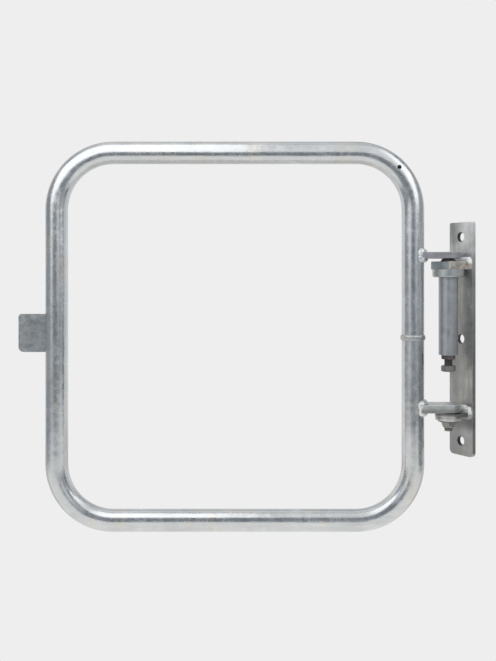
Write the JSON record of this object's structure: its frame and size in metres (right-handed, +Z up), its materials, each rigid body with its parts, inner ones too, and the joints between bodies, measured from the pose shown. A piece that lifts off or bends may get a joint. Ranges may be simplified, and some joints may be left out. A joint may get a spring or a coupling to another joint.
{
  "type": "self-closing gate",
  "caption": "Bent-tube hoop gate on a sprung vertical hinge, with a bolt-on mounting plate and a stop plate on its free side.",
  "frame": {"origin": "axis of the middle fixing hole at the mounting plate's back face", "axes": "+Z up, +Y into the wall that the plate bolts to, +X along the wall. The hinge axis is vertical, 41 mm in front of the back face. At rest the gate stands 58 degrees out from the wall."},
  "size_m": [0.4761, 0.729, 0.7382],
  "materials": {
    "galvanised_tube": "hot-dip galvanised: matt to satin cool grey with soft mottling",
    "galvanised_plate": "hot-dip galvanised: matt to satin cool grey with soft mottling",
    "galvanised_housing": "dull blue-grey zinc",
    "weld_metal": "galvanised weld bead, brighter than the bar",
    "fastener_steel": "dull brown-grey steel",
    "zinc_fastener": "dull zinc",
    "shaft_steel": "turned steel, greased",
    "bush_bronze": "sintered bronze",
    "spring_steel": "oil-tempered wire",
    "nylon": "off-white nylon"
  },
  "bodies": {
    "mount": {"mounting_plate": "galvanised_plate", "upper_lug": "galvanised_plate", "lower_lug": "galvanised_plate", "upper_lug_weld": "weld_metal", "lower_lug_weld": "weld_metal", "upper_bush": "bush_bronze", "lower_bush": "bush_bronze", "spring_housing": "galvanised_housing", "housing_collar": "galvanised_plate", "housing_end_plug": "galvanised_housing", "torsion_spring": "spring_steel"},
    "gate": {"hoop_tube": "galvanised_tube", "hoop_joint_weld": "weld_metal", "upper_arm": "galvanised_plate", "lower_arm": "galvanised_plate", "upper_arm_weld": "weld_metal", "lower_arm_weld": "weld_metal", "stop_plate": "galvanised_plate", "stop_plate_weld": "weld_metal", "hinge_shaft": "shaft_steel", "spring_anchor_pin": "shaft_steel", "upper_spacer": "fastener_steel", "lower_pivot_stud": "zinc_fastener", "lower_thrust_washer": "zinc_fastener", "lower_washer": "zinc_fastener", "lower_small_washer": "zinc_fastener", "lower_lock_nut": "zinc_fastener", "lock_nut_insert": "nylon"},
    "tension_adjuster": {"tension_bolt": "fastener_steel", "tension_lock_nut": "fastener_steel", "spring_winder": "shaft_steel"}
  },
  "joints": [
    {"name": "gate_swing", "type": "hinge", "parent": "mount", "child": "gate", "pos_m": [0, -0.041, 0], "axis": [0, 0, 1], "range_deg": [-58, 122], "stiffness_Nm_per_rad": 5.7, "deforming": ["torsion_spring"]},
    {"name": "spring_tension", "type": "hinge", "parent": "mount", "child": "tension_adjuster", "pos_m": [0, -0.041, 0], "axis": [0, 0, 1], "range_deg": [-180, 180], "deforming": ["torsion_spring"]}
  ]
}
